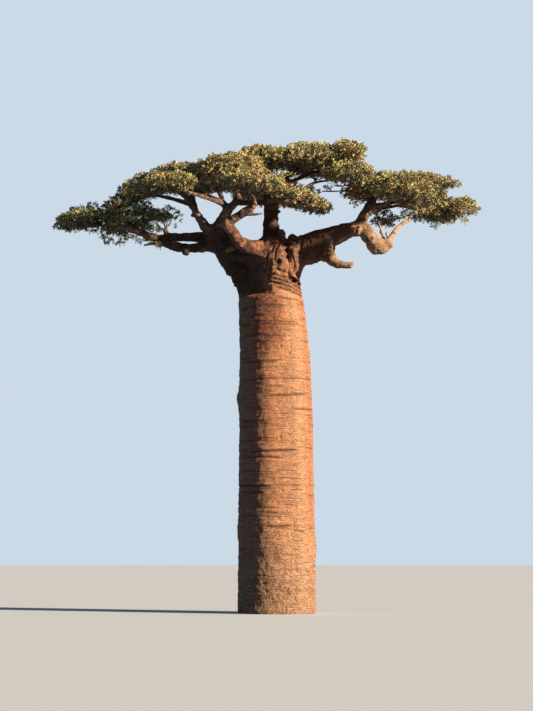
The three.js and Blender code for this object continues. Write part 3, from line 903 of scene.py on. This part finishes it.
# Foliage: twig ends, the sprays that they make up, and the branches that carry the sprays
foliage = {
    "seed": 11, "tips": 9000, "spacing": 0.10, "tipsPerArea": 58,
    "twigRadius": 0.007, "pipe": 1 / 2.2,  # a branch is as thick as its count of twig ends to this power
    "leavesPerTip": 6, "reach": 0.13,  # how far leaves stand out past the twig's end
    "sprayRadius": (0.22, 0.46), "sprayRoom": 0.52, "sprayDrop": 0.32, "sprayStem": 0.26,
    "lowShare": 0.55,  # share of the sprays that hang under the crest
    "thickCount": 16, "thickSides": 6, "thinSides": 3,  # branches of fewer twig ends have fewer sides
}

# Leaf: a leaflet's size, the angles that its leaflets stand at, and how unevenly leaves grow and hang
leaf = {
    "length": 0.120, "width": 0.034, "fan": (-125, -75, -25, 25, 75, 125), "stalk": (0.03, 0.12),
    "fold": 0.008, "droop": (0.15, 0.75), "tilt": 0.6, "roll": 0.7, "size": (0.8, 1.15),
}

# Loose sprays beyond the masses: x, y, z and radius
looseSprays = {
    "leaves_front_right": [
        (6.00, -3.45, 17.80, 0.26), (6.35, -3.60, 17.74, 0.26), (6.66, -3.70, 17.85, 0.24),
        (6.86, -3.75, 18.05, 0.24), (6.15, -3.50, 17.98, 0.26), (6.55, -3.72, 18.08, 0.26),
        (6.36, -3.45, 18.02, 0.24), (6.05, -3.45, 17.62, 0.24), (6.55, -3.65, 17.64, 0.22),
        (6.80, -3.72, 18.28, 0.26),
    ],
    "leaves_left_tip": [
        (-9.27, -0.2, 18.42, 0.20), (-8.85, 0.1, 18.52, 0.24), (-8.45, -0.3, 18.60, 0.24),
        (-8.10, 0.2, 18.62, 0.26), (-7.80, -0.2, 18.70, 0.22), (-10.05, 0.1, 17.74, 0.16),
        (-8.60, 0.0, 17.48, 0.26), (-8.20, -0.2, 17.40, 0.26),
    ],
    "leaves_left_mid": [
        (-7.91, -0.2, 17.10, 0.20), (-7.68, -0.2, 16.98, 0.18), (-7.17, -0.2, 16.85, 0.14),
        (-6.95, -0.4, 17.00, 0.22), (-6.57, -0.5, 17.08, 0.24), (-6.22, -0.4, 16.92, 0.18),
        (-5.97, -0.5, 17.06, 0.20), (-5.80, -0.4, 16.90, 0.16), (-5.50, -0.5, 16.74, 0.14),
        (-5.30, -0.5, 16.66, 0.12), (-5.50, -0.3, 17.50, 0.26), (-5.75, -0.2, 17.45, 0.24),
        (-7.05, 0.5, 19.08, 0.22),
    ],
    "leaves_left_in": [
        (-4.78, -0.6, 18.32, 0.12), (-4.52, -0.6, 18.14, 0.10), (-4.97, -0.6, 18.38, 0.14),
        (-4.60, -0.6, 17.92, 0.09), (-4.40, -0.5, 18.04, 0.08), (-5.25, -0.8, 18.22, 0.16),
    ],
    "leaves_right_tip": [
        (6.32, -0.3, 17.97, 0.26), (6.69, -0.5, 17.86, 0.26), (7.05, -0.3, 17.90, 0.28),
        (7.46, -0.5, 17.80, 0.26), (7.83, -0.3, 17.86, 0.26), (8.62, -0.3, 17.86, 0.20),
        (7.25, -0.2, 17.62, 0.10), (6.05, -0.4, 18.08, 0.22),
    ],
    "leaves_right_mid": [(3.49, -1.2, 18.50, 0.14), (3.42, -1.1, 18.72, 0.12), (2.20, -1.6, 19.15, 0.20)],
    "leaves_top_mid": [
        (0.40, -0.3, 20.05, 0.30), (0.65, -0.5, 19.95, 0.26), (0.19, -0.6, 20.18, 0.26),
        (0.08, -0.9, 19.92, 0.24), (0.00, -0.6, 20.34, 0.28),
    ],
    "leaves_top_left": [(-1.95, 0.5, 21.02, 0.26), (-1.60, 0.4, 21.12, 0.26)],
    "leaves_right_upper": [(5.45, 1.6, 20.40, 0.26)],
    "leaves_shelf_right": [(1.05, -2.5, 19.02, 0.26), (1.45, -2.4, 18.92, 0.26), (1.80, -2.3, 18.80, 0.24)],
    "leaves_tuft": [(4.55, 0.6, 18.30, 0.18), (5.70, 0.8, 18.22, 0.18), (5.95, 0.6, 18.40, 0.16)],
}

# Bare twigs: lines through x, y and z, and how many twig ends they are as thick as
bareTwigs = [
    ([(-5.45, -0.45, 16.98), (-6.00, -1.10, 17.02), (-6.50, -1.62, 17.20)], 420),
    ([(-6.50, -1.62, 17.20), (-7.10, -1.76, 17.33)], 300),
    ([(-7.10, -1.76, 17.33), (-7.74, -1.72, 17.47)], 120),
    ([(3.70, -1.05, 19.08), (3.40, -1.10, 18.98), (2.72, -1.25, 18.99), (2.04, -1.40, 18.96)], 26),
    ([(-4.95, -0.32, 17.55), (-4.85, -0.45, 17.85), (-4.66, -0.50, 18.16)], 20),
    ([(-4.85, -0.45, 17.85), (-4.95, -0.60, 18.10), (-4.98, -0.60, 18.42)], 9),
    ([(5.02, -1.60, 16.69), (4.90, -1.55, 16.98), (4.94, -1.55, 17.06)], 40),
]

# What each mass of leaves grows on from: the limb whose end feeds it
feeds = {
    "leaves_left_tip": "bough_left_arm_end", "leaves_left_mid": "bough_left_arm_end",
    "leaves_left_in": "bough_left_arm_upper", "leaves_up_left_far": "bough_back_left_out",
    "leaves_up_left": "bough_left_up", "leaves_front_left": "bough_left_front",
    "leaves_centre_left": "bough_left_mid", "leaves_shelf_left": "bough_front_rise",
    "leaves_shelf_right": "bough_front_cross", "leaves_top_left": "bough_upright_left",
    "leaves_top_mid": "bough_upright", "leaves_top_right": "bough_upright_right",
    "leaves_right_mid": "bough_right_left", "leaves_right_inner": "bough_right_up",
    "leaves_right_upper": "bough_right_upper", "leaves_right_lower": "bough_right_out",
    "leaves_right_tip": "bough_right_tip", "leaves_front_right": "bough_right_front",
    "leaves_tuft": "bough_right_tuft", "leaves_back_left": "bough_back_left",
    "leaves_back_mid": "bough_back_stem", "leaves_back_right": "bough_back_right",
    "leaves_back_right_far": "bough_back_right_out", "leaves_inner_left": "bough_inner_left",
    "leaves_inner_right": "bough_inner_right",
}


def insideMass(name):
    # a function that gives the heights of a mass's underside and crest at one place
    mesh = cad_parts[name].data
    solid = BVHTree.FromPolygons([v.co for v in mesh.vertices], [tuple(p.vertices) for p in mesh.polygons])
    low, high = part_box(name)

    def heights(x, y):
        top = solid.ray_cast(Vector((x, y, high[2] + 1)), Vector((0, 0, -1)))[0]
        bottom = solid.ray_cast(Vector((x, y, low[2] - 1)), Vector((0, 0, 1)))[0]
        if top is None or bottom is None or top.z - bottom.z < 1.8 * foliage["reach"]:
            return None
        return bottom.z + 1.6 * foliage["reach"], top.z

    return low, high, heights


def growSpray(centre, size, heights, draw):
    # the twig ends of one spray, a small flat umbrella that droops toward its rim
    tips = []
    for _ in range(max(5, round(foliage["tipsPerArea"] * size**2))):
        away = size * math.sqrt(draw.random())
        turn = draw.uniform(0, 2 * math.pi)
        tip = centre + (away * math.cos(turn), away * math.sin(turn), 0)
        tip[2] -= foliage["sprayDrop"] * (away / size) ** 2 * size + abs(draw.normal(0, 0.035))
        if heights:
            span = heights(tip[0], tip[1])
            if span is None or tip[2] < span[0]:
                continue
            tip[2] = min(tip[2], span[1])
        if tips and np.min(np.linalg.norm(np.array(tips) - tip, axis=1)) < foliage["spacing"]:
            continue
        tips.append(tip)
    return np.array(tips)


def growSprays(name, count, draw):
    # the mass's sprays, some at its crest and some lower down, with air between them
    corner, opposite, heights = insideMass(name)
    sprays = []
    for x, y, z, size in looseSprays.get(name, ()):
        centre = np.array((x, y, z))
        sprays.append((centre, growSpray(centre, size, None, draw)))
    total = 0
    room = foliage["sprayRoom"]
    while total < count:
        room *= 0.999
        x, y = draw.uniform(corner[0], opposite[0]), draw.uniform(corner[1], opposite[1])
        span = heights(x, y)
        if span is None:
            continue
        if draw.random() < foliage["lowShare"]:
            z = span[0] + (span[1] - span[0]) * draw.uniform(0.1, 0.85)
        else:
            z = span[1] - 0.05 - abs(draw.normal(0, 0.03))
        centre = np.array((x, y, z))
        if any(np.linalg.norm((centre - other[0]) * (1, 1, 1.3)) < room for other in sprays):
            continue
        tips = growSpray(centre, draw.uniform(*foliage["sprayRadius"]), heights, draw)
        if len(tips) > 2:
            sprays.append((centre, tips))
            total += len(tips)
    return sprays


def splitInTwo(places, draw):
    # which places go to either side of a cut across their longest spread
    spread = places - places.mean(axis=0)
    along = np.linalg.svd(spread, full_matrices=False)[2][0] + draw.normal(0, 0.25, 3)
    order = np.argsort(spread @ along)
    cut = int(np.clip(round(len(places) * draw.uniform(0.35, 0.65)), 1, len(places) - 1))
    return order[:cut], order[cut:]


def growTwigs(start, tips, draw, edges):
    # split the tips in two over and over, with a fork where each lot parts from the rest
    if len(tips) == 1:
        edges.append((start, tips[0], 1))
        return
    middle = tips.mean(axis=0)
    fork = start + (middle - start) * draw.uniform(0.35, 0.55)
    edges.append((start, fork, len(tips)))
    for lot in splitInTwo(tips, draw):
        growTwigs(fork, tips[lot], draw, edges)


def growBranches(start, sprays, draw, edges):
    # carry a branch under each spray, kept low until it is near, and then let its twigs rise
    count = sum(len(tips) for _, tips in sprays)
    feet = np.array([centre for centre, _ in sprays]) - (0, 0, foliage["sprayStem"])
    if len(sprays) == 1:
        bend = start + (feet[0] - start) * (0.55, 0.55, 0.35) + draw.normal(0, 0.04, 3)
        edges.append((start, bend, count))
        edges.append((bend, feet[0], count))
        growTwigs(feet[0], sprays[0][1], draw, edges)
        return
    share = draw.uniform(0.30, 0.45)
    away = feet.mean(axis=0) - start
    stray = draw.normal(0, 0.05, 3) * min(1.0, np.linalg.norm(away))
    fork = start + away * (share, share, share * 0.7) + stray
    edges.append((start, fork, count))
    for lot in splitInTwo(feet, draw):
        growBranches(fork, [sprays[k] for k in lot], draw, edges)


def squareTo(headings):
    # two directions square to each heading and to each other
    up = np.where(np.abs(headings[:, 2:]) < 0.9, np.array([[0.0, 0.0, 1.0]]), np.array([[1.0, 0.0, 0.0]]))
    side = np.cross(headings, up)
    side /= np.linalg.norm(side, axis=1)[:, None]
    return side, np.cross(side, headings)


def modelTubes(edges, sides, draw):
    # bent tapering tubes, closed at both ends: points and faces of all of them
    start = np.array([edge[0] for edge in edges])
    end = np.array([edge[1] for edge in edges])
    wide = foliage["twigRadius"] * np.array([edge[2] for edge in edges], float) ** foliage["pipe"]
    heading = end - start
    length = np.linalg.norm(heading, axis=1)[:, None]
    side, up = squareTo(heading / length)
    aside = side * draw.normal(0, 0.06, (len(edges), 1))
    aside = aside + up * draw.normal(0, 0.05, (len(edges), 1))
    bend = (start + end) / 2 + aside * length
    turns = 2 * math.pi * np.arange(sides) / sides
    rings = []
    for middle, scale in ((start, 1.12), (bend, 1.0), (end, 0.9)):
        for turn in turns:
            rings.append(middle + (side * math.cos(turn) + up * math.sin(turn)) * wide[:, None] * scale)
    points = np.stack(rings, axis=1).reshape(-1, 3)
    faces = []
    for ring in range(2):
        for k in range(sides):
            a, b = ring * sides + k, ring * sides + (k + 1) % sides
            faces.extend([(a, b, b + sides), (a, b + sides, a + sides)])
    last = 2 * sides
    for k in range(1, sides - 1):
        faces.extend([(0, k + 1, k), (last, last + k, last + k + 1)])
    offsets = np.arange(len(edges))[:, None, None] * 3 * sides
    return points, (np.array(faces)[None] + offsets).reshape(-1, 3)


def modelSpikes(edges):
    # a closed three-sided spike for each twig
    start = np.array([edge[0] for edge in edges])
    end = np.array([edge[1] for edge in edges])
    heading = end - start
    length = np.linalg.norm(heading, axis=1)[:, None]
    side, up = squareTo(heading / length)
    corners = []
    for turn in (0, 2 * math.pi / 3, 4 * math.pi / 3):
        corners.append(start + (side * math.cos(turn) + up * math.sin(turn)) * foliage["twigRadius"] * 1.3)
    points = np.stack([*corners, end], axis=1).reshape(-1, 3)
    faces = np.array([(0, 1, 3), (1, 2, 3), (2, 0, 3), (0, 2, 1)])
    return points, (faces[None] + np.arange(len(edges))[:, None, None] * 4).reshape(-1, 3)


def modelLeaves(twigs, draw):
    # palm-shaped leaves round the end of each twig, with leaflets of two faces each
    tip = np.repeat(np.array([edge[1] for edge in twigs]), foliage["leavesPerTip"], axis=0)
    heading = np.array([edge[1] - edge[0] for edge in twigs])
    heading /= np.linalg.norm(heading, axis=1)[:, None]
    heading = np.repeat(heading, foliage["leavesPerTip"], axis=0)
    count = len(tip)
    side, up = squareTo(heading)
    turn = draw.uniform(0, 2 * math.pi, (count, 1))
    lean = np.radians(draw.uniform(20, 100, (count, 1)))
    ahead = heading * np.cos(lean) + (side * np.cos(turn) + up * np.sin(turn)) * np.sin(lean)
    ahead /= np.linalg.norm(ahead, axis=1)[:, None]
    sky = np.array((0, 0, 1.0)) + draw.normal(0, leaf["tilt"], (count, 3))
    right = np.cross(ahead, sky)
    right /= np.linalg.norm(right, axis=1)[:, None]
    above = np.cross(right, ahead)
    base = tip + ahead * draw.uniform(*leaf["stalk"], (count, 1))
    size = draw.uniform(*leaf["size"], (count, 1))
    points = []
    for degrees in leaf["fan"]:
        turn = math.radians(degrees)
        along = ahead * math.cos(turn) + right * math.sin(turn)
        flat = right * math.cos(turn) - ahead * math.sin(turn)
        long = leaf["length"] * size * (1 - 0.3 * abs(degrees) / leaf["fan"][-1])
        wide = leaf["width"] * size / 2
        roll = draw.normal(0, leaf["roll"], (count, 1))
        across = flat * np.cos(roll) + above * np.sin(roll)
        lift = above * leaf["fold"]
        sag = draw.uniform(*leaf["droop"], (count, 1)) * np.array((0, 0, 1.0))
        point = along - sag
        point /= np.linalg.norm(point, axis=1)[:, None]
        middle = base + (0.6 * along + 0.4 * point) * long * 0.5
        inner, outer = middle - across * wide + lift, middle + across * wide + lift
        points.extend([base, outer, base + point * long, inner])
    points = np.stack(points, axis=1).reshape(-1, 3)
    corners = 4 * len(leaf["fan"])
    leaflet = np.array([(0, 2, 1), (0, 3, 2)])
    faces = np.vstack([leaflet + k for k in range(0, corners, 4)])
    return points, (faces[None] + np.arange(count)[:, None, None] * corners).reshape(-1, 3)


def meshFrom(name, points, faces):
    # points as rows of x, y, z; faces as rows of point numbers, all with as many corners
    mesh = bpy.data.meshes.new(name)
    mesh.vertices.add(len(points))
    mesh.vertices.foreach_set("co", np.asarray(points, np.float32).ravel())
    mesh.loops.add(faces.size)
    mesh.loops.foreach_set("vertex_index", faces.astype(np.int32).ravel())
    mesh.polygons.add(len(faces))
    mesh.polygons.foreach_set("loop_start", np.arange(0, faces.size, faces.shape[1], dtype=np.int32))
    mesh.update(calc_edges=True)
    piece = bpy.data.objects.new(name, mesh)
    bpy.context.scene.collection.objects.link(piece)
    return piece


# Camera, light and floor; the sun's azimuth is turned from the main view's side toward the right
view = {"place": (-0.472, -85.0, 2.6), "pitch": 6.069, "lens": 95.0, "clipEnd": 2000}
sun = {"azimuth": 61, "height": 16, "strength": 10.9, "spread": 1.5, "colour": (1.0, 0.87, 0.68)}
sky = {"light": (0.50, 0.70, 1.0, 1.0), "lightStrength": 0.20, "backdrop": (0.60, 0.70, 0.80, 1.0)}
floor = {"radius": 400.0, "colour": (0.60, 0.61, 0.62, 1.0), "below": 0.002}
selectOnly()
bpy.ops.object.camera_add(location=view["place"], rotation=(math.radians(90 + view["pitch"]), 0, 0))
camera = bpy.context.object
camera.data.lens = view["lens"]
camera.data.clip_end = view["clipEnd"]
bpy.context.scene.camera = camera
bpy.context.scene.view_settings.view_transform = "Standard"
azimuth = math.radians(sun["azimuth"])
height = math.radians(sun["height"])
level = Vector((math.sin(azimuth), -math.cos(azimuth), 0))
toSun = level * math.cos(height) + Vector((0, 0, math.sin(height)))
bpy.ops.object.light_add(type="SUN", rotation=toSun.to_track_quat("Z", "Y").to_euler())
lamp = bpy.context.object.data
lamp.energy = sun["strength"]
lamp.angle = math.radians(sun["spread"])
lamp.color = sun["colour"]
world = bpy.data.worlds.new("sky")
world.use_nodes = True
worldNodes = world.node_tree.nodes
worldLinks = world.node_tree.links
worldNodes["Background"].inputs["Color"].default_value = sky["light"]
worldNodes["Background"].inputs["Strength"].default_value = sky["lightStrength"]
backdrop = worldNodes.new("ShaderNodeBackground")
seen = worldNodes.new("ShaderNodeLightPath")
either = worldNodes.new("ShaderNodeMixShader")
backdrop.inputs["Color"].default_value = sky["backdrop"]
worldLinks.new(seen.outputs["Is Camera Ray"], either.inputs[0])
worldLinks.new(worldNodes["Background"].outputs[0], either.inputs[1])
worldLinks.new(backdrop.outputs[0], either.inputs[2])
worldLinks.new(either.outputs[0], worldNodes["World Output"].inputs["Surface"])
bpy.context.scene.world = world
selectOnly()
bpy.ops.mesh.primitive_circle_add(
    vertices=96, radius=floor["radius"], fill_type="NGON", location=(0, 0, -floor["below"])
)
bpy.ops.object.transform_apply(location=True)
ground = bpy.context.object
ground.name = "floor"
ground.data.materials.append(plainMaterial("floor", floor["colour"]))
ground.visible_diffuse = False  # so that the pale floor doesn't light the tree from below
print("camera, light and floor placed")

# Trunk and boughs
forkBark = modelWood()
roughenWood(forkBark)
cutFlat(forkBark, 0, True)
selectOnly(forkBark)
bpy.ops.object.duplicate()
trunkBark = bpy.context.object
cutFlat(trunkBark, trunk["split"], False)
cutFlat(forkBark, trunk["split"], True)
forkBark.name = "fork_bark"
trunkBark.name = "trunk_bark"
barkSurface = barkMaterial()
for piece in (forkBark, trunkBark):
    piece.data.materials.clear()
    piece.data.materials.append(barkSurface)
    selectOnly(piece)
    bpy.ops.object.shade_smooth_by_angle(angle=math.radians(70))
    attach(piece, "root")
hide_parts("trunk")
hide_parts(*limbs)
print("trunk:", len(trunkBark.data.polygons), "faces")
print("fork:", len(forkBark.data.polygons), "faces")

# Branches, twigs and leaves
draw = np.random.default_rng(foliage["seed"])
room = {}  # each mass's share of the twig ends grows with its spread, and less with its height
for name in feeds:
    low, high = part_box(name)
    room[name] = ((high[0] - low[0]) * (high[1] - low[1])) * (high[2] - low[2]) ** 0.6
edges = []
for name, limb in feeds.items():
    count = round(foliage["tips"] * room[name] / sum(room.values()))
    growBranches(np.array(limbs[limb][-1][:3]), growSprays(name, count, draw), draw, edges)
for line, count in bareTwigs:
    edges.extend((np.array(a), np.array(b), count) for a, b in zip(line, line[1:]))
branches = [edge for edge in edges if edge[2] > 1]
twigs = [edge for edge in edges if edge[2] == 1]
thick = [edge for edge in branches if edge[2] >= foliage["thickCount"]]
thin = [edge for edge in branches if edge[2] < foliage["thickCount"]]
thickPoints, thickFaces = modelTubes(thick, foliage["thickSides"], draw)
thinPoints, thinFaces = modelTubes(thin, foliage["thinSides"], draw)
twigPoints, twigFaces = modelSpikes(twigs)
branchPoints = np.vstack([thickPoints, thinPoints])
branchFaces = np.vstack([thickFaces, thinFaces + len(thickPoints)])
woodPieces = {"branches": (branchPoints, branchFaces), "twigs": (twigPoints, twigFaces)}
for name, (points, faces) in woodPieces.items():
    piece = meshFrom(name, points, faces)
    piece.data.materials.append(twigMaterial(name, twigLook["light"], twigLook["dark"]))
    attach(piece, "root")
    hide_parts(*feeds)
    print(name, len(faces), "faces")

# Each twig's leaves get one colour: warmer in patches and at the crown's top, cooler at its left end, where
# more of the darker deep green is painted shade
looks = list(leafLooks)
ends = np.array([twig[1] for twig in twigs])
warm = 1.6 * noiseAt(ends, 0.8, 31.0) - 0.9 * smoothStep(-3.5, -6.5, ends[:, 0])
warm += 0.7 * smoothStep(20.2, 21.0, ends[:, 2])
shares = np.array([leafLooks[look]["share"] * np.exp(leafLooks[look]["warmth"] * warm) for look in looks])
steps = (shares / shares.sum(axis=0)).cumsum(axis=0)
dealt = (draw.random(len(twigs)) > steps).sum(axis=0)
for number, look in enumerate(looks):
    points, faces = modelLeaves([twig for twig, lot in zip(twigs, dealt) if lot == number], draw)
    piece = meshFrom(look, points, faces)
    piece.data.materials.append(leafMaterial(look, leafLooks[look]["light"], leafLooks[look]["dark"]))
    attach(piece, "root")
    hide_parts(*feeds)
    print(look, len(faces), "faces")
